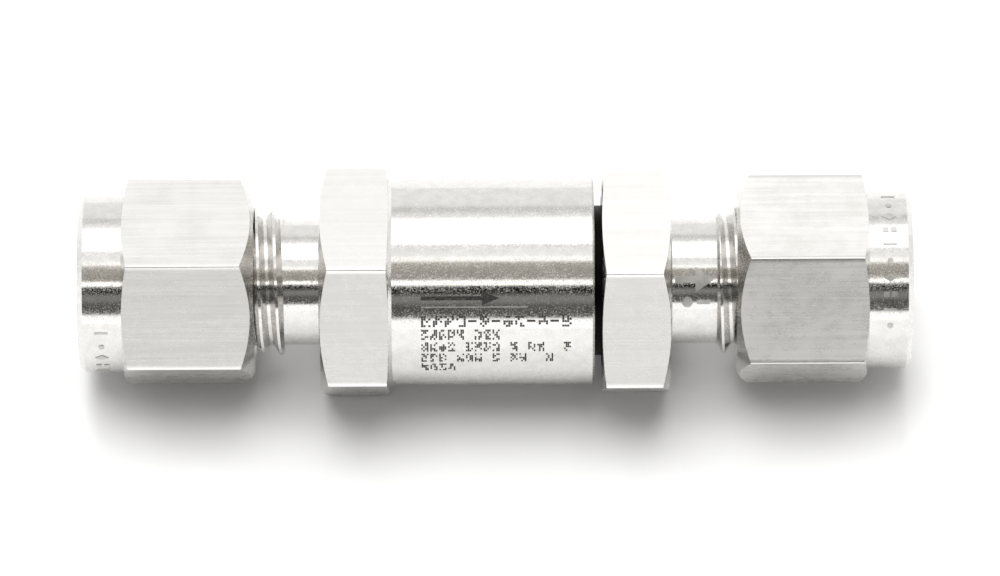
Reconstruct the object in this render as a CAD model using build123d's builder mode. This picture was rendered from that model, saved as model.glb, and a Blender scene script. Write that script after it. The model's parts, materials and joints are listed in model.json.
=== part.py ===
"""In-line poppet check valve with a double-ferrule tube fitting at each end, in stainless steel.

Frame: +X runs along the flow, from the inlet nut to the outlet nut. +Z is up, square to one flat of the
body hexagon. The origin is on the flow axis, half-way along the valve. Millimetres.

The inlet body carries the seat and the barrel. The outlet cap screws into the barrel, seals on an O-ring
with a backup ring, and holds the spring stop. Between them a sprung poppet, faced with a rubber ring,
closes on the seat and lifts along +X. Each end has a male threaded nose with a coned mouth, a front and
a back ferrule, and a union nut.

Both fittings share one set of dimensions, given along u: u runs outward from the outer face of the
hexagon at that end, so the outlet's u runs along +X and the inlet's along -X.
"""

import os
from math import cos, floor, pi, radians, sin, tan

from build123d import *

os.makedirs("parts", exist_ok=True)

# ---- Driving dimensions: outside ----------------------------------------------------------------
TOTAL_LENGTH = 62.0
BODY_FLATS = 16.5  # across the flats of both body hexagons
HEX_INNER_X = 7.93  # both hexagons, the side that faces the barrel
HEX_OUTER_X = 13.0  # both hexagons, the side that faces the nut, and where u starts
HEX_EDGE_RADIUS = 0.12
CAP_TURN = 2.3  # how far the cap stands turned about +X from the body, in degrees
HEX_OUTER_CHAMFER = 0.6  # along the axis, at the corners
CAP_INNER_CHAMFER = 0.3
BODY_INNER_CHAMFER = 0.15
BARREL_RADIUS = 7.78
BARREL_END_X = 7.35
BARREL_ROOT_RADIUS = 0.25  # where the barrel meets its hexagon
EDGE_BREAK = 0.15

NUT_FLATS = 14.29  # 9/16 in, the usual union nut for 1/4 in tube
NUT_LENGTH = 13.05
NUT_COLLAR_LENGTH = 3.3
NUT_COLLAR_RADIUS = 6.7
NUT_COLLAR_CHAMFER = 0.4
NUT_HEX_CHAMFER = 0.4  # at the collar, along the axis at the corners
NUT_FACE_RADIUS = 6.8  # the flat ring at the threaded end
NUT_FACE_ANGLE = 34.0  # how steeply the threaded end is chamfered, from that face
SIDES = {"inlet": -1, "outlet": 1}
NECK_LENGTHS = {"inlet": 2.73, "outlet": 3.48}
NUT_TURNS = {"inlet": -3.0, "outlet": -5.7}  # how far each nut stands turned about +X, in degrees

# ---- Driving dimensions: threads ----------------------------------------------------------------
THREAD_PITCH = 1.27  # 20 to the inch, for the nuts and for the body joint
THREAD_CREST_WIDTH = 0.2
THREAD_FLANK_ANGLE = 30.0
THREAD_CLEARANCE = 0.08  # between the two flanks, square to them
THREAD_SINK = 0.1  # how far a ridge reaches into its core, so that the two fuse cleanly
NOSE_CREST_RADIUS = 5.5  # 7/16 in thread on each nose
NOSE_ROOT_RADIUS = 4.78
NOSE_THREAD_START = {"inlet": 0.24, "outlet": 1.08}  # where on u each helix starts a turn
JOINT_CREST_RADIUS = 6.3  # 1/2 in thread between cap and barrel
JOINT_ROOT_RADIUS = 5.6

# ---- Driving dimensions: tube fittings, along u --------------------------------------------------
TUBE_BORE_RADIUS = 3.225  # a 6.35 mm tube slides in
NUT_BORE_RADIUS = 3.3
FLOW_RADIUS = 2.4
TUBE_SHOULDER_U = 3.0
NECK_RADIUS = 4.725
NOSE_END_U = 11.6
NOSE_THREAD_END_U = 11.4
CONE_MOUTH_RADIUS = 3.95
CONE_HALF_ANGLE = 20.0
FERRULE_GAP = 0.04  # left between ferrules, cone and nut at finger-tight
FRONT_FERRULE_START_U = 10.3
FRONT_FERRULE_RADIUS = 4.2
BACK_FERRULE_RADIUS = 4.4
FERRULE_CAVITY_RADIUS = 4.6
BACK_FERRULE_START_U = 12.5
BACK_FERRULE_LENGTH = 2.3
NUT_THREAD_END_U = 11.5
NUT_RELIEF_END_U = 12.1  # a groove that the thread runs out into
NUT_RELIEF_RADIUS = 5.75

# ---- Driving dimensions: inside the valve, along X ----------------------------------------------
SEAT_X = -9.6
SEAT_LIP_RADIUS = 3.0
SEAT_LIP_HEIGHT = 0.6
CHAMBER_RADIUS = 4.9
SEAL_BORE_RADIUS = 5.25
SEAL_BORE_START_X = -3.2
THREAD_RELIEF_END_X = 0.4
CAP_NOSE_X = -3.1
CAP_NOSE_RADIUS = 5.2
CAP_BORE_RADIUS = 3.7
GROOVE_START_X = -2.55
GROOVE_END_X = -0.75
GROOVE_RADIUS = 4.25
STOP_FACE_X = 0.4  # the cap's inner shoulder, where the poppet stop rests
STOP_THICKNESS = 1.0
STOP_RADIUS = 3.66
STOP_BOSS_RADIUS = 1.2
POPPET_FACE_X = -9.45
POPPET_BACK_X = -6.6
POPPET_RADIUS = 4.75
POPPET_FLATS = 7.8  # four flow flats
POPPET_STROKE = 1.8
STEM_RADIUS = 1.2
STEM_END_X = -4.6
SEAL_INNER_RADIUS = 2.1
SEAL_OUTER_RADIUS = 3.6
SEAL_THICKNESS = 0.8
SPRING_RADIUS = 3.05  # to the middle of the wire
SPRING_WIRE = 0.4
SPRING_TURNS = 6
SPRING_DEAD_TURNS = 1  # closed at each end
SPRING_SEAT_X = -7.6

# ---- Worked out from them -----------------------------------------------------------------------
NUT_OUTER_U = TOTAL_LENGTH / 2 - HEX_OUTER_X
NUT_INNER_U = NUT_OUTER_U - NUT_LENGTH
NUT_COLLAR_U = NUT_OUTER_U - NUT_COLLAR_LENGTH
CONE_SLOPE = tan(radians(CONE_HALF_ANGLE))
CONE_START_U = NOSE_END_U - (CONE_MOUTH_RADIUS - TUBE_BORE_RADIUS) / CONE_SLOPE
BACK_FERRULE_END_U = BACK_FERRULE_START_U + BACK_FERRULE_LENGTH
NOSE_THREAD_HEIGHT = NOSE_CREST_RADIUS - NOSE_ROOT_RADIUS
JOINT_THREAD_HEIGHT = JOINT_CREST_RADIUS - JOINT_ROOT_RADIUS
NUT_MINOR_RADIUS = NOSE_ROOT_RADIUS + THREAD_CLEARANCE + 0.04
BARREL_MINOR_RADIUS = JOINT_ROOT_RADIUS + THREAD_CLEARANCE + 0.04
BARREL_THREAD_MAJOR = JOINT_CREST_RADIUS + THREAD_CLEARANCE
SPRING_STOP_X = STOP_FACE_X - STOP_THICKNESS
STOP_BOSS_X = STEM_END_X + POPPET_STROKE + 0.05


def outline(points, side=1, base=0.0):
    """The face inside a closed line of (distance outward from base, radius) points, to be revolved."""
    with BuildSketch(Plane((side * base, 0, 0), x_dir=(side, 0, 0), z_dir=(0, 0, 1))) as face:
        with BuildLine():
            Polyline(*points, close=True)
        make_face()
    return face.sketch


def turned(points, side=1, base=0.0, mode=Mode.ADD):
    """Revolve such an outline about the flow axis, in the part being built."""
    revolve(outline(points, side, base), axis=Axis.X, mode=mode)


def hexagon(start, end, across_flats, side=1, base=0.0, turn=0.0):
    """A hexagonal bar about the flow axis whose six long edges are slightly rounded."""
    with BuildSketch(Plane.YZ.offset(side * (base + start))) as section:
        RegularPolygon(across_flats / 2, 6, major_radius=False, rotation=turn)
        fillet(section.vertices(), HEX_EDGE_RADIUS)
    extrude(section.sketch, amount=side * (end - start))


def bevel(face, inward, start_radius, corner_radius, depth, side=1, base=0.0):
    """Cut a cone off the outside, from start_radius at the face to corner_radius at the given depth.

    Inward is 1 or -1, the way from the face into the metal.
    """
    slope = inward * depth / (corner_radius - start_radius)
    low = start_radius - 0.5
    high = corner_radius + 0.5
    turned(
        [
            (face + (low - start_radius) * slope, low),
            (face + (high - start_radius) * slope, high),
            (face + (low - start_radius) * slope, high),
        ],
        side,
        base,
        Mode.SUBTRACT,
    )


def thread_ridge(start, end, root, crest, side=1, base=0.0, phase=0.0, grow=0.0, leads=(0.3, 0.3)):
    """A right-hand helical ridge about the flow axis, trimmed to a span, with chamfered ends.

    Its helix depends only on base, side and phase. A ridge that is grown by the thread clearance
    therefore cuts the matching groove in a nut, whatever span either of them has.
    """
    first = phase + THREAD_PITCH * (floor((start - phase) / THREAD_PITCH) - 2)
    height = THREAD_PITCH * (floor((end - start) / THREAD_PITCH) + 5)
    flank = tan(radians(THREAD_FLANK_ANGLE))
    crest_half = THREAD_CREST_WIDTH / 2 + grow / cos(radians(THREAD_FLANK_ANGLE)) - grow * flank
    foot_half = crest_half + (crest - root + THREAD_SINK) * flank
    centre = Vector(side * (base + first), 0, 0)
    with BuildPart() as ridge:
        with BuildLine() as path:
            Helix(THREAD_PITCH, height, root, center=centre, direction=(side, 0, 0))
        origin = path.line @ 0
        with BuildSketch(Plane(origin, x_dir=origin - centre, z_dir=path.line % 0)):
            with BuildLine():
                Polyline(
                    (grow - THREAD_SINK, -foot_half),
                    (crest + grow - root, -crest_half),
                    (crest + grow - root, crest_half),
                    (grow - THREAD_SINK, foot_half),
                    close=True,
                )
            make_face()
        sweep(path=path.line, is_frenet=True)
        rim = crest + grow + 0.05
        trim = [
            (start, 0),
            (start, rim - leads[0]),
            (start + leads[0], rim),
            (end - leads[1], rim),
            (end, rim - leads[1]),
            (end, 0),
        ]
        revolve(outline(trim, side, base), axis=Axis.X, mode=Mode.INTERSECT)
    return ridge.part


def nose_ridge(end_name, start, end, grow=0.0, leads=(0.3, 0.3)):
    """The thread of one nose, or with grow above 0 the cutter for its nut."""
    return thread_ridge(
        start,
        end,
        NOSE_ROOT_RADIUS,
        NOSE_CREST_RADIUS,
        SIDES[end_name],
        HEX_OUTER_X,
        NOSE_THREAD_START[end_name],
        grow,
        leads,
    )


def nose_core(end_name):
    """The male end of one fitting, less its thread: a neck, then the thread's root cylinder."""
    neck = NECK_LENGTHS[end_name]
    turned(
        [
            (-0.5, 0),
            (-0.5, NECK_RADIUS + 0.15),
            (0, NECK_RADIUS + 0.15),
            (0.15, NECK_RADIUS),
            (neck, NECK_RADIUS),
            (neck, NOSE_ROOT_RADIUS),
            (NOSE_END_U - EDGE_BREAK, NOSE_ROOT_RADIUS),
            (NOSE_END_U, NOSE_ROOT_RADIUS - EDGE_BREAK),
            (NOSE_END_U, 0),
        ],
        SIDES[end_name],
        HEX_OUTER_X,
    )


def nose_bore(end_name):
    """Cut the coned mouth, the tube socket and the shoulder that the tube rests on."""
    turned(
        [
            (TUBE_SHOULDER_U, 0),
            (TUBE_SHOULDER_U, TUBE_BORE_RADIUS),
            (CONE_START_U, TUBE_BORE_RADIUS),
            (NOSE_END_U + 1, CONE_MOUTH_RADIUS + CONE_SLOPE),
            (NOSE_END_U + 1, 0),
        ],
        SIDES[end_name],
        HEX_OUTER_X,
        Mode.SUBTRACT,
    )


# ---- Inlet body: nose, hexagon and barrel in one piece ------------------------------------------
NOSE_LEADS = (0.25, NOSE_THREAD_HEIGHT)
CORNER_RADIUS = BODY_FLATS / 2 / cos(pi / 6)
inlet_thread = nose_ridge("inlet", NECK_LENGTHS["inlet"], NOSE_THREAD_END_U, leads=NOSE_LEADS)
barrel_groove = thread_ridge(
    THREAD_RELIEF_END_X - 0.2, BARREL_END_X + 1, JOINT_ROOT_RADIUS, JOINT_CREST_RADIUS, grow=THREAD_CLEARANCE
)

with BuildPart() as valve_body:
    hexagon(-HEX_OUTER_X, -HEX_INNER_X, BODY_FLATS)
    bevel(-HEX_OUTER_X, 1, BODY_FLATS / 2, CORNER_RADIUS, HEX_OUTER_CHAMFER)
    bevel(-HEX_INNER_X, -1, BODY_FLATS / 2, CORNER_RADIUS, BODY_INNER_CHAMFER)
    turned(
        [
            (-HEX_INNER_X - 1, 0),
            (-HEX_INNER_X - 1, BARREL_RADIUS + BARREL_ROOT_RADIUS),
            (-HEX_INNER_X, BARREL_RADIUS + BARREL_ROOT_RADIUS),
            (-HEX_INNER_X + BARREL_ROOT_RADIUS, BARREL_RADIUS),
            (BARREL_END_X - EDGE_BREAK, BARREL_RADIUS),
            (BARREL_END_X, BARREL_RADIUS - EDGE_BREAK),
            (BARREL_END_X, 0),
        ]
    )
    nose_core("inlet")
    add(inlet_thread)
    nose_bore("inlet")
    turned(
        [
            (-HEX_OUTER_X - TUBE_SHOULDER_U - 1, 0),
            (-HEX_OUTER_X - TUBE_SHOULDER_U - 1, FLOW_RADIUS),
            (SEAT_X + 1, FLOW_RADIUS),
            (SEAT_X + 1, 0),
        ],
        mode=Mode.SUBTRACT,
    )
    turned(
        [
            (SEAT_X - SEAT_LIP_HEIGHT, SEAT_LIP_RADIUS),
            (SEAT_X, SEAT_LIP_RADIUS),
            (SEAT_X, 0),
            (BARREL_END_X + 1, 0),
            (BARREL_END_X + 1, BARREL_THREAD_MAJOR + 1.1),
            (BARREL_END_X - 0.1, BARREL_THREAD_MAJOR),
            (BARREL_END_X - 0.8, BARREL_MINOR_RADIUS),
            (THREAD_RELIEF_END_X + 0.6, BARREL_MINOR_RADIUS),
            (THREAD_RELIEF_END_X, BARREL_THREAD_MAJOR),
            (-0.2, BARREL_THREAD_MAJOR),
            (-0.6, SEAL_BORE_RADIUS),
            (SEAL_BORE_START_X, SEAL_BORE_RADIUS),
            (SEAL_BORE_START_X, CHAMBER_RADIUS),
            (SEAT_X - SEAT_LIP_HEIGHT, CHAMBER_RADIUS),
        ],
        mode=Mode.SUBTRACT,
    )
    add(barrel_groove, mode=Mode.SUBTRACT)
valve_body.part.label = "valve_body"
export_step(valve_body.part, "parts/valve_body.step")

# ---- Outlet cap: screws into the barrel, and carries the outlet nose ----------------------------
outlet_thread = nose_ridge("outlet", NECK_LENGTHS["outlet"], NOSE_THREAD_END_U, leads=NOSE_LEADS)
cap_thread = thread_ridge(
    THREAD_RELIEF_END_X + 0.6,
    BARREL_END_X - 0.4,
    JOINT_ROOT_RADIUS,
    JOINT_CREST_RADIUS,
    leads=(JOINT_THREAD_HEIGHT, JOINT_THREAD_HEIGHT),
)

with BuildPart() as outlet_cap:
    hexagon(HEX_INNER_X, HEX_OUTER_X, BODY_FLATS, turn=CAP_TURN)
    bevel(HEX_OUTER_X, -1, BODY_FLATS / 2, CORNER_RADIUS, HEX_OUTER_CHAMFER)
    bevel(HEX_INNER_X, 1, BODY_FLATS / 2, CORNER_RADIUS, CAP_INNER_CHAMFER)
    turned(
        [
            (CAP_NOSE_X, 0),
            (CAP_NOSE_X, CAP_NOSE_RADIUS - EDGE_BREAK),
            (CAP_NOSE_X + EDGE_BREAK, CAP_NOSE_RADIUS),
            (GROOVE_START_X, CAP_NOSE_RADIUS),
            (GROOVE_START_X, GROOVE_RADIUS),
            (GROOVE_END_X, GROOVE_RADIUS),
            (GROOVE_END_X, CAP_NOSE_RADIUS),
            (THREAD_RELIEF_END_X, CAP_NOSE_RADIUS),
            (THREAD_RELIEF_END_X + 0.6, JOINT_ROOT_RADIUS),
            (HEX_INNER_X + 1, JOINT_ROOT_RADIUS),
            (HEX_INNER_X + 1, 0),
        ]
    )
    add(cap_thread)
    nose_core("outlet")
    add(outlet_thread)
    nose_bore("outlet")
    turned(
        [
            (CAP_NOSE_X - 1, 0),
            (CAP_NOSE_X - 1, CAP_BORE_RADIUS),
            (STOP_FACE_X, CAP_BORE_RADIUS),
            (STOP_FACE_X, FLOW_RADIUS + 0.4),
            (STOP_FACE_X + 0.8, FLOW_RADIUS),
            (HEX_OUTER_X + TUBE_SHOULDER_U + 1, FLOW_RADIUS),
            (HEX_OUTER_X + TUBE_SHOULDER_U + 1, 0),
        ],
        mode=Mode.SUBTRACT,
    )
outlet_cap.part.label = "outlet_cap"
export_step(outlet_cap.part, "parts/outlet_cap.step")

# ---- Rings in the cap's groove ------------------------------------------------------------------
RING_SECTION = SEAL_BORE_RADIUS - GROOVE_RADIUS - 0.02
BACKUP_THICKNESS = 0.6

with BuildPart() as body_o_ring:
    with BuildSketch(Plane.XY):
        with Locations((GROOVE_START_X + RING_SECTION / 2 + 0.05, (SEAL_BORE_RADIUS + GROOVE_RADIUS) / 2)):
            Circle(RING_SECTION / 2)
    revolve(axis=Axis.X)
body_o_ring.part.label = "body_o_ring"
export_step(body_o_ring.part, "parts/body_o_ring.step")

with BuildPart() as backup_ring:
    turned(
        [
            (GROOVE_END_X - BACKUP_THICKNESS, GROOVE_RADIUS + 0.01),
            (GROOVE_END_X - BACKUP_THICKNESS, SEAL_BORE_RADIUS - 0.02),
            (GROOVE_END_X, SEAL_BORE_RADIUS - 0.02),
            (GROOVE_END_X, GROOVE_RADIUS + 0.01),
        ]
    )
backup_ring.part.label = "backup_ring"
export_step(backup_ring.part, "parts/backup_ring.step")

# ---- Poppet stop: a slotted disc that the spring bears on ---------------------------------------
SLOT_INNER_RADIUS = 1.45
SLOT_OUTER_RADIUS = 2.55
SLOT_COUNT = 3
SPOKE_WIDTH = 0.9

with BuildPart() as poppet_stop:
    with BuildSketch(Plane.YZ.offset(SPRING_STOP_X)):
        Circle(STOP_RADIUS)
        Circle(SLOT_OUTER_RADIUS, mode=Mode.SUBTRACT)
        Circle(SLOT_INNER_RADIUS)
        with PolarLocations((SLOT_INNER_RADIUS + SLOT_OUTER_RADIUS) / 2, SLOT_COUNT):
            Rectangle(SLOT_OUTER_RADIUS - SLOT_INNER_RADIUS + 0.4, SPOKE_WIDTH)
    extrude(amount=STOP_THICKNESS)
    with BuildSketch(Plane.YZ.offset(STOP_BOSS_X)):
        Circle(STOP_BOSS_RADIUS)
    extrude(amount=SPRING_STOP_X - STOP_BOSS_X)
poppet_stop.part.label = "poppet_stop"
export_step(poppet_stop.part, "parts/poppet_stop.step")

# ---- Poppet and its seal ------------------------------------------------------------------------
SPRING_POCKET_INNER = SPRING_RADIUS - SPRING_WIRE / 2 - 0.15
SPRING_POCKET_OUTER = SPRING_RADIUS + SPRING_WIRE / 2 + 0.15

with BuildPart() as poppet:
    turned(
        [
            (POPPET_FACE_X, 0),
            (POPPET_FACE_X, SEAL_INNER_RADIUS),
            (SEAT_X + SEAL_THICKNESS, SEAL_INNER_RADIUS),
            (SEAT_X + SEAL_THICKNESS, SEAL_OUTER_RADIUS),
            (POPPET_FACE_X, SEAL_OUTER_RADIUS),
            (POPPET_FACE_X, POPPET_RADIUS - 0.5),
            (POPPET_FACE_X + 0.5, POPPET_RADIUS),
            (POPPET_BACK_X - EDGE_BREAK, POPPET_RADIUS),
            (POPPET_BACK_X, POPPET_RADIUS - EDGE_BREAK),
            (POPPET_BACK_X, SPRING_POCKET_OUTER),
            (SPRING_SEAT_X, SPRING_POCKET_OUTER),
            (SPRING_SEAT_X, SPRING_POCKET_INNER),
            (POPPET_BACK_X, SPRING_POCKET_INNER),
            (POPPET_BACK_X, STEM_RADIUS),
            (STEM_END_X, STEM_RADIUS),
            (STEM_END_X, 0),
        ]
    )
    with BuildSketch(Plane.YZ.offset(POPPET_FACE_X)):
        Circle(POPPET_RADIUS + 1)
        Rectangle(POPPET_FLATS, POPPET_FLATS, mode=Mode.SUBTRACT)
    extrude(amount=POPPET_BACK_X - POPPET_FACE_X, mode=Mode.SUBTRACT)
poppet.part.label = "poppet"
export_step(poppet.part, "parts/poppet.step")

with BuildPart() as poppet_seal:
    turned(
        [
            (SEAT_X, SEAL_INNER_RADIUS),
            (SEAT_X, SEAL_OUTER_RADIUS),
            (SEAT_X + SEAL_THICKNESS, SEAL_OUTER_RADIUS),
            (SEAT_X + SEAL_THICKNESS, SEAL_INNER_RADIUS),
        ]
    )
poppet_seal.part.label = "poppet_seal"
export_step(poppet_seal.part, "parts/poppet_seal.step")

# ---- Poppet spring: closed and ground at both ends ----------------------------------------------
POINTS_PER_TURN = 16
spring_rise = SPRING_STOP_X - SPRING_SEAT_X - SPRING_WIRE
active_turns = SPRING_TURNS - 2 * SPRING_DEAD_TURNS
dead_rise = SPRING_WIRE * SPRING_DEAD_TURNS
active_pitch = (spring_rise - 2 * dead_rise) / active_turns
spring_line = []
for step in range(SPRING_TURNS * POINTS_PER_TURN + 1):
    turns = step / POINTS_PER_TURN
    from_start = min(turns, SPRING_DEAD_TURNS)
    from_end = max(turns - SPRING_TURNS + SPRING_DEAD_TURNS, 0)
    active = turns - from_start - from_end
    x = SPRING_SEAT_X + SPRING_WIRE / 2 + SPRING_WIRE * (from_start + from_end) + active_pitch * active
    angle = 2 * pi * turns
    spring_line.append((x, SPRING_RADIUS * cos(angle), SPRING_RADIUS * sin(angle)))

with BuildPart() as poppet_spring:
    with BuildLine() as coil:
        Spline(*spring_line)
    with BuildSketch(Plane(coil.line @ 0, z_dir=coil.line % 0)):
        Circle(SPRING_WIRE / 2 - 0.005)
    sweep(path=coil.line, is_frenet=True)
poppet_spring.part.label = "poppet_spring"
export_step(poppet_spring.part, "parts/poppet_spring.step")

# ---- Each end's union nut and ferrules ----------------------------------------------------------
NUT_CORNER_RADIUS = NUT_FLATS / 2 / cos(pi / 6)
FACE_DEPTH = (NUT_CORNER_RADIUS - NUT_FACE_RADIUS) * tan(radians(NUT_FACE_ANGLE))
NUT_SEAT_U = BACK_FERRULE_END_U + FERRULE_GAP
BACK_SHOULDER = BACK_FERRULE_RADIUS - NUT_BORE_RADIUS - 0.35
cone_offset = FERRULE_GAP / cos(radians(CONE_HALF_ANGLE))
front_start_radius = TUBE_BORE_RADIUS + (FRONT_FERRULE_START_U - CONE_START_U) * CONE_SLOPE - cone_offset
front_cone_end = FRONT_FERRULE_START_U + (FRONT_FERRULE_RADIUS - front_start_radius) / CONE_SLOPE

for end_name, side in SIDES.items():
    nut_groove = nose_ridge(end_name, NUT_INNER_U - 1, NUT_THREAD_END_U + 0.4, grow=THREAD_CLEARANCE)
    with BuildPart() as union_nut:
        hexagon(NUT_INNER_U, NUT_COLLAR_U, NUT_FLATS, side, HEX_OUTER_X, NUT_TURNS[end_name])
        bevel(NUT_INNER_U, 1, NUT_FACE_RADIUS, NUT_CORNER_RADIUS, FACE_DEPTH, side, HEX_OUTER_X)
        bevel(NUT_COLLAR_U, -1, NUT_FLATS / 2, NUT_CORNER_RADIUS, NUT_HEX_CHAMFER, side, HEX_OUTER_X)
        turned(
            [
                (NUT_COLLAR_U - 1, 0),
                (NUT_COLLAR_U - 1, NUT_COLLAR_RADIUS),
                (NUT_OUTER_U - NUT_COLLAR_CHAMFER, NUT_COLLAR_RADIUS),
                (NUT_OUTER_U, NUT_COLLAR_RADIUS - NUT_COLLAR_CHAMFER),
                (NUT_OUTER_U, 0),
            ],
            side,
            HEX_OUTER_X,
        )
        turned(
            [
                (NUT_INNER_U - 1, 0),
                (NUT_INNER_U - 1, NOSE_CREST_RADIUS + THREAD_CLEARANCE + 1.1),
                (NUT_INNER_U + 0.7, NUT_MINOR_RADIUS),
                (NUT_THREAD_END_U - 0.3, NUT_MINOR_RADIUS),
                (NUT_THREAD_END_U, NUT_RELIEF_RADIUS),
                (NUT_RELIEF_END_U, NUT_RELIEF_RADIUS),
                (NUT_RELIEF_END_U, FERRULE_CAVITY_RADIUS),
                (NUT_SEAT_U - BACK_SHOULDER, FERRULE_CAVITY_RADIUS),
                (NUT_SEAT_U + 0.35, NUT_BORE_RADIUS),
                (NUT_OUTER_U - 0.4, NUT_BORE_RADIUS),
                (NUT_OUTER_U + 1, NUT_BORE_RADIUS + 1.4),
                (NUT_OUTER_U + 1, 0),
            ],
            side,
            HEX_OUTER_X,
            Mode.SUBTRACT,
        )
        add(nut_groove, mode=Mode.SUBTRACT)
    union_nut.part.label = f"{end_name}_nut"
    export_step(union_nut.part, f"parts/{end_name}_nut.step")

    with BuildPart() as front_ferrule:
        turned(
            [
                (FRONT_FERRULE_START_U, NUT_BORE_RADIUS),
                (FRONT_FERRULE_START_U, front_start_radius),
                (front_cone_end, FRONT_FERRULE_RADIUS),
                (BACK_FERRULE_START_U + 0.5, FRONT_FERRULE_RADIUS),
                (BACK_FERRULE_START_U - FERRULE_GAP, FRONT_FERRULE_RADIUS - 0.5 - FERRULE_GAP),
                (BACK_FERRULE_START_U - FERRULE_GAP, NUT_BORE_RADIUS),
            ],
            side,
            HEX_OUTER_X,
        )
    front_ferrule.part.label = f"{end_name}_front_ferrule"
    export_step(front_ferrule.part, f"parts/{end_name}_front_ferrule.step")

    with BuildPart() as back_ferrule:
        turned(
            [
                (BACK_FERRULE_START_U, NUT_BORE_RADIUS),
                (BACK_FERRULE_START_U, FRONT_FERRULE_RADIUS - 0.5 - FERRULE_GAP),
                (BACK_FERRULE_START_U + 0.5, FRONT_FERRULE_RADIUS - FERRULE_GAP),
                (BACK_FERRULE_START_U + 0.7, BACK_FERRULE_RADIUS),
                (BACK_FERRULE_END_U - BACK_SHOULDER, BACK_FERRULE_RADIUS),
                (BACK_FERRULE_END_U, NUT_BORE_RADIUS + 0.35),
                (BACK_FERRULE_END_U, NUT_BORE_RADIUS),
            ],
            side,
            HEX_OUTER_X,
        )
    back_ferrule.part.label = f"{end_name}_back_ferrule"
    export_step(back_ferrule.part, f"parts/{end_name}_back_ferrule.step")
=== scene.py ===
import json
import random
from math import cos, pi, radians, sin

import bmesh
import bpy
from mathutils import Matrix, Vector


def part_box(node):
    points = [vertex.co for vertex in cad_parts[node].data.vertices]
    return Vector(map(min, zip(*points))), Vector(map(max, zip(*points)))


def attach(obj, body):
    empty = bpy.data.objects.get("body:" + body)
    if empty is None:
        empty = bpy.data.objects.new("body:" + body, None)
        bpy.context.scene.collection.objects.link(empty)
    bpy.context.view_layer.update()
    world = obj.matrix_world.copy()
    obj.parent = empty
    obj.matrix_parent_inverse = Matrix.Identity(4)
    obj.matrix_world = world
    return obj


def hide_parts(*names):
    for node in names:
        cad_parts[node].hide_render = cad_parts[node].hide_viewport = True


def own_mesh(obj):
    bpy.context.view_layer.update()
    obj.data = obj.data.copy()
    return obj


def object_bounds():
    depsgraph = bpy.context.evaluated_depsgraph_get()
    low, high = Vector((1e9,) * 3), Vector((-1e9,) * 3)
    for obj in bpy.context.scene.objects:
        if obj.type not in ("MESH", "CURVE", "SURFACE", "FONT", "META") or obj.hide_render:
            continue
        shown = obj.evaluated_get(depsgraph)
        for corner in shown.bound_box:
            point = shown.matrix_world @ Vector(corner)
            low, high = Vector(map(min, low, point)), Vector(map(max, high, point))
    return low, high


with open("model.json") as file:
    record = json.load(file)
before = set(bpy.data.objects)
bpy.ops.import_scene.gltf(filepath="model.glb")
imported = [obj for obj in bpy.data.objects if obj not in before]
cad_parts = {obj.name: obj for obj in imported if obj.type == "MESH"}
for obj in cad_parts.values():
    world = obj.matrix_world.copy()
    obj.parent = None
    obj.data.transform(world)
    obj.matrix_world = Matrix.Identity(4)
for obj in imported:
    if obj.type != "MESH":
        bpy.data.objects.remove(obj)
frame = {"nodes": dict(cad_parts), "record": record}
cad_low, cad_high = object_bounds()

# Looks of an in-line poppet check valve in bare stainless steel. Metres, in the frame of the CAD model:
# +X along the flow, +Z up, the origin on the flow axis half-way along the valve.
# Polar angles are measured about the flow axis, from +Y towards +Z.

MM = 0.001


# ---- Places: from the frame where it gives them, and otherwise the CAD model's own sizes --------
CENTRE = (cad_low + cad_high) / 2
FLOOR_Z = cad_low[2]
APOTHEM = -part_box("valve_body")[0][2]
CORNER = APOTHEM / cos(pi / 6)
NUT_APOTHEM = 7.145 * MM
NUT_CORNER = NUT_APOTHEM / cos(pi / 6)
BARREL_RADIUS = 7.78 * MM
COLLAR_RADIUS = 6.7 * MM
NECK_RADIUS = 4.725 * MM
HEX_INNER_X = 7.93 * MM
HEX_OUTER_X = 13.0 * MM
NUT_END_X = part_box("outlet_nut")[1][0]
NUT_INNER_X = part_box("outlet_nut")[0][0]
COLLAR_LENGTH = 3.3 * MM
COLLAR_X = NUT_END_X - COLLAR_LENGTH


# ---- Node helpers -------------------------------------------------------------------------------
def add_node(tree, kind, inputs=None, **settings):
    """Add a shader node. An input's value is a number, a colour or another node's output."""
    made = tree.nodes.new(kind)
    for key, value in settings.items():
        setattr(made, key, value)
    for key, value in (inputs or {}).items():
        if isinstance(value, bpy.types.NodeSocket):
            tree.links.new(value, made.inputs[key])
        else:
            made.inputs[key].default_value = value
    return made


def maths(tree, operation, first, second=0.0, third=0.0, clamp=False):
    """The result of a maths node."""
    inputs = {0: first, 1: second, 2: third}
    return add_node(tree, "ShaderNodeMath", inputs, operation=operation, use_clamp=clamp).outputs[0]


def scaled_by(tree, vector, factor):
    """A vector or colour times a number."""
    return add_node(tree, "ShaderNodeVectorMath", {0: vector, "Scale": factor}, operation="SCALE").outputs[0]


def between(tree, value, low, high, to_low=0.0, to_high=1.0):
    """Value mapped smoothly from low..high to to_low..to_high, and held outside."""
    inputs = {"Value": value, "From Min": low, "From Max": high, "To Min": to_low, "To Max": to_high}
    return add_node(tree, "ShaderNodeMapRange", inputs, interpolation_type="SMOOTHSTEP").outputs[0]


def noise(tree, vector, scale, detail=2.0, roughness=0.5):
    """A noise texture's value, about 0.5, at vector times scale."""
    inputs = {"Vector": vector, "Scale": scale, "Detail": detail, "Roughness": roughness}
    return add_node(tree, "ShaderNodeTexNoise", inputs).outputs[0]


def mix(tree, factor, first, second):
    """A number part of the way from first to second."""
    inputs = {"Factor": factor, "A": first, "B": second}
    return add_node(tree, "ShaderNodeMix", inputs, data_type="FLOAT").outputs[0]


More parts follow.
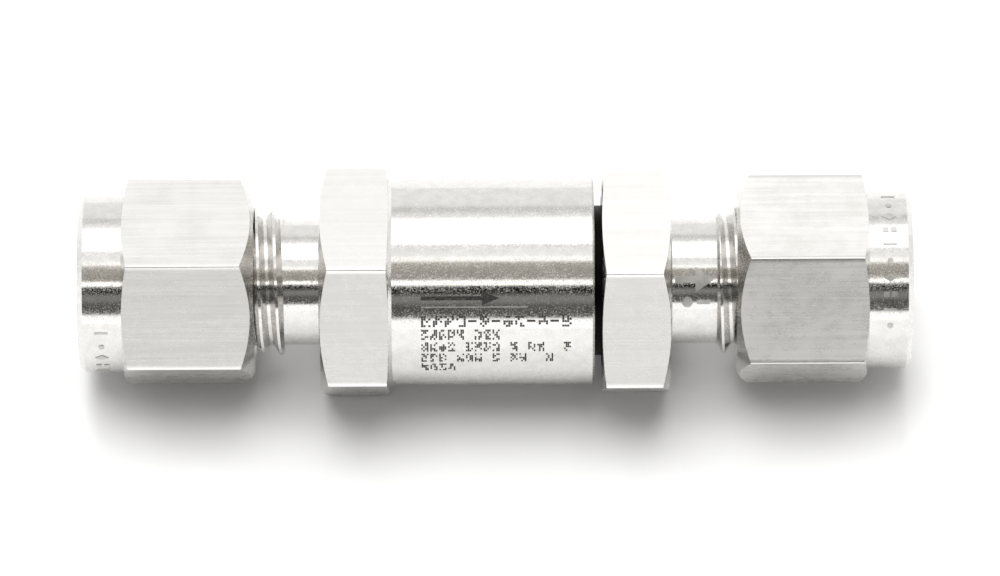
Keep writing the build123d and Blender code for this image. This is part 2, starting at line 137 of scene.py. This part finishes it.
def blend_colours(tree, factor, first, second):
    """A colour part of the way from first to second."""
    made = add_node(tree, "ShaderNodeMix", {"Factor": factor}, data_type="RGBA")
    for socket, value in ((made.inputs[6], first), (made.inputs[7], second)):
        if isinstance(value, bpy.types.NodeSocket):
            tree.links.new(value, socket)
        else:
            socket.default_value = (*value, 1.0)
    return made.outputs[2]


def new_material(name):
    """An empty node material, its tree and its Principled shader, already joined to the output."""
    material = bpy.data.materials.new(name)
    material.use_nodes = True
    tree = material.node_tree
    tree.nodes.clear()
    shader = tree.nodes.new("ShaderNodeBsdfPrincipled")
    output = tree.nodes.new("ShaderNodeOutputMaterial")
    tree.links.new(shader.outputs[0], output.inputs[0])
    return material, tree, shader


def object_place(tree):
    """The place in object space, in millimetres."""
    return scaled_by(tree, add_node(tree, "ShaderNodeTexCoord").outputs["Object"], 1 / MM)


def around_axis(tree, place):
    """A place's x, its distance from the flow axis, and its polar angle."""
    x, y, z = add_node(tree, "ShaderNodeSeparateXYZ", {0: place}).outputs
    squares = maths(tree, "ADD", maths(tree, "MULTIPLY", y, y), maths(tree, "MULTIPLY", z, z))
    return x, maths(tree, "SQRT", squares), maths(tree, "ARCTAN2", z, y)


def joined(tree, x, y, z):
    """A vector from three values."""
    return add_node(tree, "ShaderNodeCombineXYZ", {0: x, 1: y, 2: z}).outputs[0]


# ---- Steel --------------------------------------------------------------------------------------
SQUARE_ON = 0.02  # the most that a flat's normal may point along the valve
BORE_SHARE = 0.86  # of the corner radius: nearer the axis than this, a face isn't a flat
RUBBED_FROM = 0.2  # in millimetres inside the corner radius
RUBBED_FULLY = 0.04
RUBBED_ROUGHNESS = 0.16
# The gain below lightens the hex edges' colour: a painted edge highlight
RUBBED_HIGHLIGHT_GAIN = 1.08
# Painted shade: the deep gap between the barrel and the cap hex is coloured near-black and made rough
GAP_SHADE_COLOUR = (0.012, 0.011, 0.01)
GAP_SHADE_ROUGHNESS = 0.5
GAP_SHADE_FADE = 0.1  # in millimetres


def grain_along(tree, place, lengthwise, across, detail, roughness):
    """Noise stretched along the valve: lengthwise and across are how often it changes in a millimetre."""
    scale = (lengthwise, across, across)
    stretched = add_node(tree, "ShaderNodeMapping", {"Vector": place, "Scale": scale}).outputs[0]
    return noise(tree, stretched, 1.0, detail, roughness)


def steel(
    name,
    dark,
    light,
    roughness,
    flats=None,
    corner=None,
    turned_depth=1.0,
    drawn_depth=1.0,
    flat_light_and_shade=(1.0, 1.0),
    gap=None,
):
    """Bare stainless steel.

    Turned surfaces have fine rings from the lathe. Flats, the pair of lowest and highest distance from
    the valve's middle between which the piece is a hexagon, have the lengthwise grain of drawn bar,
    crossed more by cutter marks at the inlet end, as deep as drawn_depth. Corner is the hexagon's corner
    radius: its edges are worn smoother, and their colour is lightened as a painted edge highlight.
    Flat light and shade scale the colour of the flats at the inlet and the outlet end: below one as painted
    shade, above one as painted light. Gap is a lowest and highest x and a radius, inside which the steel is
    coloured near-black as painted shade deep in the gap.
    """
    material, tree, shader = new_material(name)
    place = object_place(tree)
    x, radius, angle = around_axis(tree, place)
    way_out = maths(tree, "ABSOLUTE", x)

    ring_place = joined(tree, maths(tree, "MULTIPLY", x, 16.0), maths(tree, "MULTIPLY", angle, 0.6), radius)
    rings = noise(tree, ring_place, 1.0, 4.0, 0.7)
    mottle = noise(tree, place, 9.0, 4.0, 0.7)
    cloud = noise(tree, place, 0.35, 3.0)
    smudge = noise(tree, place, 1.3, 5.0, 0.6)
    height = maths(tree, "MULTIPLY", rings, turned_depth)
    specks = between(tree, mottle, 0.45, 0.66, -0.03, 0.2)
    rough = maths(tree, "ADD", maths(tree, "MULTIPLY_ADD", rings, 0.06, roughness - 0.03), specks)
    tint = maths(tree, "MULTIPLY_ADD", mottle, 0.4, maths(tree, "MULTIPLY", smudge, 0.6))

    if flats:
        low, high = (value / MM for value in flats)
        normal = add_node(tree, "ShaderNodeTexCoord").outputs["Normal"]
        lengthwise = maths(tree, "ABSOLUTE", add_node(tree, "ShaderNodeSeparateXYZ", {0: normal}).outputs[0])
        square_on = maths(tree, "LESS_THAN", lengthwise, SQUARE_ON)
        above = maths(tree, "GREATER_THAN", way_out, low)
        inside = maths(tree, "MULTIPLY", above, maths(tree, "LESS_THAN", way_out, high))
        beyond_bore = maths(tree, "GREATER_THAN", radius, corner / MM * BORE_SHARE)
        flat = maths(tree, "MULTIPLY", maths(tree, "MULTIPLY", square_on, inside), beyond_bore)
        outlet = between(tree, x, -1.0, 1.0)
        drawn = grain_along(tree, place, 0.1, 7.0, 6.0, 0.8)
        cutter = grain_along(tree, place, 7.0, 0.25, 3.0, 0.6)
        drawn_share = maths(tree, "MULTIPLY", drawn, mix(tree, outlet, 0.8, 1.3))
        scored = maths(tree, "MULTIPLY_ADD", cutter, mix(tree, outlet, 0.7, 0.2), drawn_share)
        height = mix(tree, flat, height, maths(tree, "MULTIPLY", scored, drawn_depth))
        rough = mix(tree, flat, rough, maths(tree, "MULTIPLY_ADD", drawn, 0.16, 0.2))
        streaks = grain_along(tree, place, 0.06, 3.0, 5.0, 0.75)
        streak = maths(tree, "MULTIPLY_ADD", streaks, 0.7, maths(tree, "MULTIPLY", cloud, 0.3))
        tint = mix(tree, flat, tint, mix(tree, drawn_depth, 0.5, streak))
        at_corner = between(tree, radius, corner / MM - RUBBED_FROM, corner / MM - RUBBED_FULLY)
        rubbed_and_highlit = maths(tree, "MULTIPLY", at_corner, inside)

    height = maths(tree, "MULTIPLY_ADD", mottle, 0.8, height)
    stain = maths(tree, "MULTIPLY_ADD", cloud, 0.5, maths(tree, "MULTIPLY", smudge, 0.5))
    rough = maths(tree, "ADD", rough, between(tree, stain, 0.35, 0.65, -0.02, 0.03))
    colour = blend_colours(tree, between(tree, tint, 0.36, 0.64), dark, light)
    if flats:
        # Painted light and shade on the flats: their colour is scaled at each end
        flat_light_scale = mix(tree, flat, 1.0, mix(tree, outlet, *flat_light_and_shade))
        colour = scaled_by(tree, colour, flat_light_scale)
        # Worn hex edges: smoother from wear, and lightened in colour as a painted edge highlight
        rough = mix(tree, rubbed_and_highlit, rough, RUBBED_ROUGHNESS)
        colour = blend_colours(tree, rubbed_and_highlit, colour, tuple(min(1.0, part * RUBBED_HIGHLIGHT_GAIN) for part in light))
    # Painted shade deep in the gap: the steel there is coloured near-black
    if gap:
        first, last, reach_out = (value / MM for value in gap)
        past_first = between(tree, x, first - GAP_SHADE_FADE, first)
        short_of_last = between(tree, x, last, last + GAP_SHADE_FADE, 1.0, 0.0)
        along = maths(tree, "MULTIPLY", past_first, short_of_last)
        gap_shaded = maths(tree, "MULTIPLY", along, between(tree, radius, reach_out - 0.3, reach_out, 1.0, 0.0))
        rough = mix(tree, gap_shaded, rough, GAP_SHADE_ROUGHNESS)
        colour = blend_colours(tree, gap_shaded, colour, GAP_SHADE_COLOUR)
    bump = add_node(tree, "ShaderNodeBump", {"Strength": 0.35, "Distance": 0.004 * MM, "Height": height})
    tree.links.new(colour, shader.inputs["Base Color"])
    tree.links.new(rough, shader.inputs["Roughness"])
    tree.links.new(bump.outputs[0], shader.inputs["Normal"])
    shader.inputs["Metallic"].default_value = 1.0
    return material


def rubber(name):
    """Matt black seal rubber, with a fine moulded grain and a little bloom."""
    material, tree, shader = new_material(name)
    place = object_place(tree)
    grain = noise(tree, place, 9.0, 4.0, 0.6)
    bloom = between(tree, noise(tree, place, 1.3, 3.0), 0.45, 0.75)
    bump = add_node(tree, "ShaderNodeBump", {"Strength": 0.5, "Distance": 0.01 * MM, "Height": grain})
    colour = blend_colours(tree, bloom, (0.012, 0.012, 0.013), (0.035, 0.035, 0.036))
    tree.links.new(colour, shader.inputs["Base Color"])
    tree.links.new(between(tree, grain, 0.3, 0.7, 0.5, 0.72), shader.inputs["Roughness"])
    tree.links.new(bump.outputs[0], shader.inputs["Normal"])
    return material


def white_plastic(name):
    """PTFE: waxy white with a faint cut grain."""
    material, tree, shader = new_material(name)
    x, radius, angle = around_axis(tree, object_place(tree))
    grain = noise(tree, joined(tree, maths(tree, "MULTIPLY", x, 8.0), angle, radius), 1.0, 3.0)
    bump = add_node(tree, "ShaderNodeBump", {"Strength": 0.3, "Distance": 0.006 * MM, "Height": grain})
    colour = blend_colours(tree, grain, (0.8, 0.79, 0.76), (0.9, 0.9, 0.88))
    tree.links.new(colour, shader.inputs["Base Color"])
    tree.links.new(between(tree, grain, 0.3, 0.7, 0.34, 0.46), shader.inputs["Roughness"])
    tree.links.new(bump.outputs[0], shader.inputs["Normal"])
    return material


def etched_black(name):
    """Black etch: oxide that is patchy at its edges and a little glossy where the steel shows through."""
    material, tree, shader = new_material(name)
    patch = noise(tree, object_place(tree), 7.0, 4.0, 0.7)
    colour = blend_colours(tree, between(tree, patch, 0.42, 0.75), (0.012, 0.011, 0.010), (0.09, 0.085, 0.08))
    bump = add_node(tree, "ShaderNodeBump", {"Strength": 0.5, "Distance": 0.004 * MM, "Height": patch})
    tree.links.new(colour, shader.inputs["Base Color"])
    tree.links.new(between(tree, patch, 0.3, 0.7, 0.4, 0.65), shader.inputs["Roughness"])
    tree.links.new(bump.outputs[0], shader.inputs["Normal"])
    shader.inputs["Metallic"].default_value = 0.4
    return material


DARK_STEEL = (0.655, 0.64, 0.615)
LIGHT_STEEL = (0.74, 0.73, 0.715)
body_steel = steel(
    "body_steel",
    DARK_STEEL,
    LIGHT_STEEL,
    roughness=0.11,
    flats=(HEX_INNER_X, HEX_OUTER_X),
    corner=CORNER,
    turned_depth=0.6,
    drawn_depth=0.45,
    # painted shade: the body's hex flats are darkened
    flat_light_and_shade=(0.84, 0.82),
    # painted shade deep in the gap between the barrel's end and the cap hex
    gap=(7.2 * MM, 7.95 * MM, 6.6 * MM),
)
nut_steel = steel(
    "nut_steel",
    DARK_STEEL,
    LIGHT_STEEL,
    roughness=0.12,
    flats=(NUT_INNER_X, COLLAR_X),
    corner=NUT_CORNER,
    turned_depth=0.6,
    # painted light: the outlet nut's flats are lightened, the inlet nut's a little darkened
    flat_light_and_shade=(0.97, 1.22),
)
ferrule_steel = steel("ferrule_steel", (0.62, 0.60, 0.57), (0.76, 0.75, 0.73), 0.16, turned_depth=0.6)
poppet_steel = steel("poppet_steel", DARK_STEEL, LIGHT_STEEL, 0.2, turned_depth=0.8)
spring_steel = steel("spring_steel", (0.5, 0.49, 0.47), (0.66, 0.65, 0.63), 0.14, turned_depth=0.2)
stamped_steel = steel("stamped_steel", (0.48, 0.47, 0.455), (0.62, 0.61, 0.59), 0.4, turned_depth=0.5)
seal_rubber = rubber("seal_rubber")
backup_plastic = white_plastic("backup_plastic")
marking_black = etched_black("marking_black")
slot_materials = {
    "body_steel": body_steel,
    "nut_steel": nut_steel,
    "ferrule_steel": ferrule_steel,
    "poppet_steel": poppet_steel,
    "spring_steel": spring_steel,
    "seal_rubber": seal_rubber,
    "backup_plastic": backup_plastic,
}
for part in frame["record"]["subparts"]:
    cad_mesh = frame["nodes"][part["node"]].data
    cad_mesh.materials.clear()
    cad_mesh.materials.append(slot_materials[part["material_slot"]])


# ---- The poppet's spring, which shortens as the poppet lifts: here a fixed copy of its mesh -----
coil = bpy.data.objects.new("spring_coil", frame["nodes"]["poppet_spring"].data.copy())
bpy.context.scene.collection.objects.link(coil)
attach(coil, "valve_body")
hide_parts("poppet_spring")
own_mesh(coil)


# ---- Marks wrapped on round surfaces ------------------------------------------------------------
MARK_SINK = 0.02 * MM
BEND_STEP = 0.15 * MM
ETCH_PROUD = 0.004 * MM
NECK_MARK_PROUD = 0.1 * MM
COLLAR_MARK_PROUD = 0.04 * MM


def wrapped(name, outlines, radius, polar, proud, body, slot, material):
    """Add one piece of raised marks on a cylinder about the flow axis.

    Each outline is a closed list of (x, arc) points in metres, where arc runs round the cylinder from
    the polar angle, upwards as it is seen from the front. Proud is how far the marks stand out.
    """
    mesh = bmesh.new()
    for outline in outlines:
        lower = [mesh.verts.new((x, arc, 0.0)) for x, arc in outline]
        upper = [mesh.verts.new((x, arc, 1.0)) for x, arc in outline]
        mesh.faces.new(lower)
        mesh.faces.new(upper)
        for index in range(len(outline)):
            after = (index + 1) % len(outline)
            mesh.faces.new((lower[index], lower[after], upper[after], upper[index]))
    arcs = [arc for outline in outlines for x, arc in outline]
    cut = min(arcs) + BEND_STEP
    while cut < max(arcs):
        everything = mesh.verts[:] + mesh.edges[:] + mesh.faces[:]
        bmesh.ops.bisect_plane(mesh, geom=everything, plane_co=(0, cut, 0), plane_no=(0, 1, 0))
        cut += BEND_STEP
    for vertex in mesh.verts:
        x, arc, level = vertex.co
        distance = radius - MARK_SINK + level * (MARK_SINK + proud)
        angle = polar - arc / radius
        vertex.co = (x, distance * cos(angle), distance * sin(angle))
    bmesh.ops.recalc_face_normals(mesh, faces=mesh.faces[:])
    data = bpy.data.meshes.new(name)
    mesh.to_mesh(data)
    mesh.free()
    data.materials.append(material)
    piece = bpy.data.objects.new(name, data)
    bpy.context.scene.collection.objects.link(piece)
    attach(piece, body)


def box_outline(x, arc, width, tall):
    """A rectangle with its lower left corner at (x, arc)."""
    return [(x, arc), (x + width, arc), (x + width, arc + tall), (x, arc + tall)]


def arrow_outline(x, arc, length, shaft, head_length, head_width):
    """An arrow along +X, with its tail's middle at (x, arc)."""
    neck = x + length - head_length
    return [
        (x, arc - shaft / 2),
        (neck, arc - shaft / 2),
        (neck, arc - head_width / 2),
        (x + length, arc),
        (neck, arc + head_width / 2),
        (neck, arc + shaft / 2),
        (x, arc + shaft / 2),
    ]


def disc_outline(x, arc, radius, sides=16):
    """A small round dot."""
    turns = [2 * pi * side / sides for side in range(sides)]
    return [(x + radius * cos(turn), arc + radius * sin(turn)) for turn in turns]


# The etched block: a flow arrow, a rule under it, and five rows of a dot code that spells nothing.
CODE_LEFT = -5.5 * MM
CODE_POLAR = radians(151)
LINE_STEP = 1.1 * MM
CODE_COLUMNS = 4
CODE_ROWS = 5
ROW_STEP = 0.18 * MM
WIDE_GLYPH = 0.87 * MM
GLYPH = 0.66 * MM
COLUMN_SHARE = 0.205  # of a glyph's step
DOT_SHARE = 0.9  # of a column or row
DOTS_IN_GLYPH = (10, 11, 12)
CODE_LINES = ("xxxx-x-xx-x-x", "xxxxx xxx", "xxxx xxxx x xx  x", "xxx xxx x xx  x", "xxxx")
cells = [(column, row) for column in range(CODE_COLUMNS) for row in range(CODE_ROWS)]
rng = random.Random(7)
code = []
for line_number, line in enumerate(CODE_LINES):
    step = GLYPH if line_number else WIDE_GLYPH
    column_step = step * COLUMN_SHARE
    foot = -line_number * LINE_STEP
    for place_number, letter in enumerate(line):
        left = CODE_LEFT + place_number * step
        chosen = rng.sample(cells, rng.choice(DOTS_IN_GLYPH))
        dot = (column_step * DOT_SHARE, ROW_STEP * DOT_SHARE)
        if letter == "-":
            code.append(box_outline(left, foot + 2.2 * ROW_STEP, column_step * 3.5, dot[1]))
        if letter == "x":
            for column, row in chosen:
                code.append(box_outline(left + column * column_step, foot + row * ROW_STEP, *dot))
wrapped("etched_code", code, BARREL_RADIUS, CODE_POLAR, ETCH_PROUD, "valve_body", "marking", marking_black)

ARROW_POLAR = radians(134.5)
arrow_place = (BARREL_RADIUS, ARROW_POLAR, ETCH_PROUD, "valve_body")
flow_arrow = arrow_outline(CODE_LEFT, 0.0, 5.8 * MM, 0.3 * MM, 1.3 * MM, 1.05 * MM)
wrapped("etched_flow_arrow", [flow_arrow], *arrow_place, "marking", marking_black)
rule = box_outline(CODE_LEFT, -0.72 * MM, 7.9 * MM, 0.1 * MM)
wrapped("frosted_rule", [rule], *arrow_place, "body_steel", stamped_steel)

# The cap's neck: a raised flow arrow, a dot and a bar.
NECK_MARK_X = HEX_OUTER_X + 0.35 * MM
NECK_MARK_POLAR = radians(126)
neck_marks = [
    arrow_outline(NECK_MARK_X, 0.1 * MM, 2.9 * MM, 0.5 * MM, 1.4 * MM, 1.9 * MM),
    disc_outline(NECK_MARK_X + 0.9 * MM, -1.6 * MM, 0.4 * MM),
    box_outline(NECK_MARK_X + 1.6 * MM, -1.75 * MM, 1.0 * MM, 0.3 * MM),
]
neck_place = (NECK_RADIUS, NECK_MARK_POLAR, NECK_MARK_PROUD, "valve_body")
wrapped("neck_flow_arrow", neck_marks, *neck_place, "body_steel", stamped_steel)

COLLAR_MARK_INSET = 1.75 * MM
COLLAR_MARK_STEP = 1.25 * MM


def collar_marks(name, body, side, first_polar, count):
    """Add a run of stamped ticks, dots, lozenges and pairs of squares round one nut's collar."""
    middle = side * (NUT_END_X - COLLAR_MARK_INSET)
    outlines = []
    for number in range(count):
        arc = -number * COLLAR_MARK_STEP
        kind = number % 4
        if kind == 0:
            outlines.append(box_outline(middle - 0.5 * MM, arc, 1.0 * MM, 0.16 * MM))
        elif kind == 1:
            outlines.append(disc_outline(middle, arc, 0.22 * MM))
        elif kind == 2:
            lozenge = [(-0.5, 0), (0, -0.32), (0.5, 0), (0, 0.32)]
            outlines.append([(middle + x * MM, arc + y * MM) for x, y in lozenge])
        else:
            outlines.append(box_outline(middle - 0.5 * MM, arc - 0.2 * MM, 0.42 * MM, 0.4 * MM))
            outlines.append(box_outline(middle + 0.1 * MM, arc - 0.2 * MM, 0.42 * MM, 0.4 * MM))
    wrapped(name, outlines, COLLAR_RADIUS, first_polar, COLLAR_MARK_PROUD, body, "nut_steel", stamped_steel)


collar_marks("outlet_nut_marks", "outlet_nut", 1, radians(60), 10)
collar_marks("inlet_nut_marks", "inlet_nut", -1, radians(160), 5)


# ---- Floor, light and camera --------------------------------------------------------------------
FLOOR_HALF = 1.5
STUDIO_STRENGTH = 1.5
WARM_GREEN = 0.1  # how much of its green and blue a fully warm band loses
WARM_BLUE = 0.35
LIGHT_LEAN = -0.08  # the lights stand a little towards the inlet


def make_floor():
    """A plain pale floor under the valve, far wider than the view."""
    data = bpy.data.meshes.new("floor")
    turns = ((-1, -1), (1, -1), (1, 1), (-1, 1))
    corners = [(x * FLOOR_HALF, y * FLOOR_HALF) for x, y in turns]
    data.from_pydata([(x, y, FLOOR_Z) for x, y in corners], [], [(0, 1, 2, 3)])
    material, tree, shader = new_material("floor_white")
    place = add_node(tree, "ShaderNodeTexCoord").outputs["Object"]
    grain = noise(tree, place, 300.0, 3.0)
    colour = blend_colours(tree, grain, (0.47, 0.47, 0.47), (0.485, 0.485, 0.485))
    tree.links.new(colour, shader.inputs["Base Color"])
    shader.inputs["Roughness"].default_value = 0.9
    shader.inputs["Specular IOR Level"].default_value = 0.1
    data.materials.append(material)
    floor = bpy.data.objects.new("floor", data)
    bpy.context.scene.collection.objects.link(floor)


def make_studio():
    """Long softboxes and black cards all along the valve, as bands of the world about the flow axis."""
    world = bpy.data.worlds.new("studio")
    bpy.context.scene.world = world
    world.use_nodes = True
    tree = world.node_tree
    tree.nodes.clear()
    coords = add_node(tree, "ShaderNodeTexCoord").outputs["Generated"]
    way = add_node(tree, "ShaderNodeSeparateXYZ", {0: coords})
    polar = maths(tree, "ARCTAN2", way.outputs[2], way.outputs[1])
    turn = maths(tree, "MULTIPLY", polar, 1 / pi, clamp=True)
    bands = add_node(tree, "ShaderNodeValToRGB", {0: turn})
    # (polar angle in degrees, brightness, warmth)
    levels = (
        (0, 0.74, 0.0),
        (32, 0.73, 0.0),
        (37, 0.52, 0.1),
        (41, 0.55, 0.1),
        (45, 0.66, 0.0),
        (50, 0.76, 0.0),
        (54.5, 1.36, 0.0),
        (75, 1.34, 0.0),
        (83.5, 1.2, 0.0),
        (85, 0.6, 0.0),
        (87, 0.72, 0.0),
        (97, 0.8, 0.0),
        (99.5, 1.1, 0.1),
        (103, 1.1, 0.1),
        (104.6, 0.34, 0.4),
        (124, 0.24, 0.4),
        (125, 1.5, 0.1),
        (129.6, 1.5, 0.1),
        (130.4, 0.0, 0.2),
        (138, 0.01, 0.2),
        (143, 0.2, 0.2),
        (148, 0.18, 0.2),
        (153, 0.07, 0.2),
        (166, 0.07, 0.2),
        (168.2, 1.05, 0.0),
        (180, 1.05, 0.0),
    )
    ramp = bands.color_ramp
    while len(ramp.elements) < len(levels):
        ramp.elements.new(0.5)
    for element, (angle, level, warmth) in zip(ramp.elements, levels):
        element.position = angle / 180
        green = level * (1 - WARM_GREEN * warmth)
        blue = level * (1 - WARM_BLUE * warmth)
        element.color = (level, green, blue, 1.0)
    inputs = {"Color": bands.outputs[0], "Strength": STUDIO_STRENGTH}
    background = add_node(tree, "ShaderNodeBackground", inputs)
    add_node(tree, "ShaderNodeOutputWorld", {0: background.outputs[0]})


def make_light(name, energy, width, polar):
    """A broad, soft light square to the valve, at a polar angle. Width is how much of the sky it fills.

    The steel reflects the studio's bands and not these.
    """
    light = bpy.data.lights.new(name, "SUN")
    light.energy = energy
    light.angle = width
    lamp = bpy.data.objects.new(name, light)
    towards = Vector((LIGHT_LEAN, cos(polar), sin(polar)))
    lamp.rotation_euler = towards.to_track_quat("Z", "Y").to_euler()
    lamp.visible_glossy = False
    bpy.context.scene.collection.objects.link(lamp)


CAMERA_ELEVATION = radians(55.1)
CAMERA_ROLL = radians(-0.28)
CAMERA_DISTANCE = 0.6
VIEW_WIDTH = 74.8 * MM
AIM_RIGHT = 0.35 * MM
AIM_UP = -0.55 * MM


def make_camera():
    """The camera looks along +Y and down, from far enough away that the view is nearly flat."""
    back = Vector((0, -cos(CAMERA_ELEVATION), sin(CAMERA_ELEVATION)))
    up = Vector((0, sin(CAMERA_ELEVATION), cos(CAMERA_ELEVATION)))
    data = bpy.data.cameras.new("camera")
    data.lens = data.sensor_width * CAMERA_DISTANCE / VIEW_WIDTH
    data.clip_start = 0.01
    data.clip_end = 20.0
    camera = bpy.data.objects.new("camera", data)
    camera.rotation_mode = "QUATERNION"
    turn = back.to_track_quat("Z", "Y").to_matrix() @ Matrix.Rotation(CAMERA_ROLL, 3, "Z")
    camera.rotation_quaternion = turn.to_quaternion()
    camera.location = CENTRE + Vector((AIM_RIGHT, 0, 0)) + up * AIM_UP + back * CAMERA_DISTANCE
    bpy.context.scene.collection.objects.link(camera)
    bpy.context.scene.camera = camera


make_floor()
make_studio()
make_light("key", 3.9, radians(45), radians(89))
make_light("low_back", 2.2, radians(20), radians(33))
make_light("low_front", 0.6, radians(30), radians(150))
make_camera()
bpy.context.scene.view_settings.view_transform = "Standard"
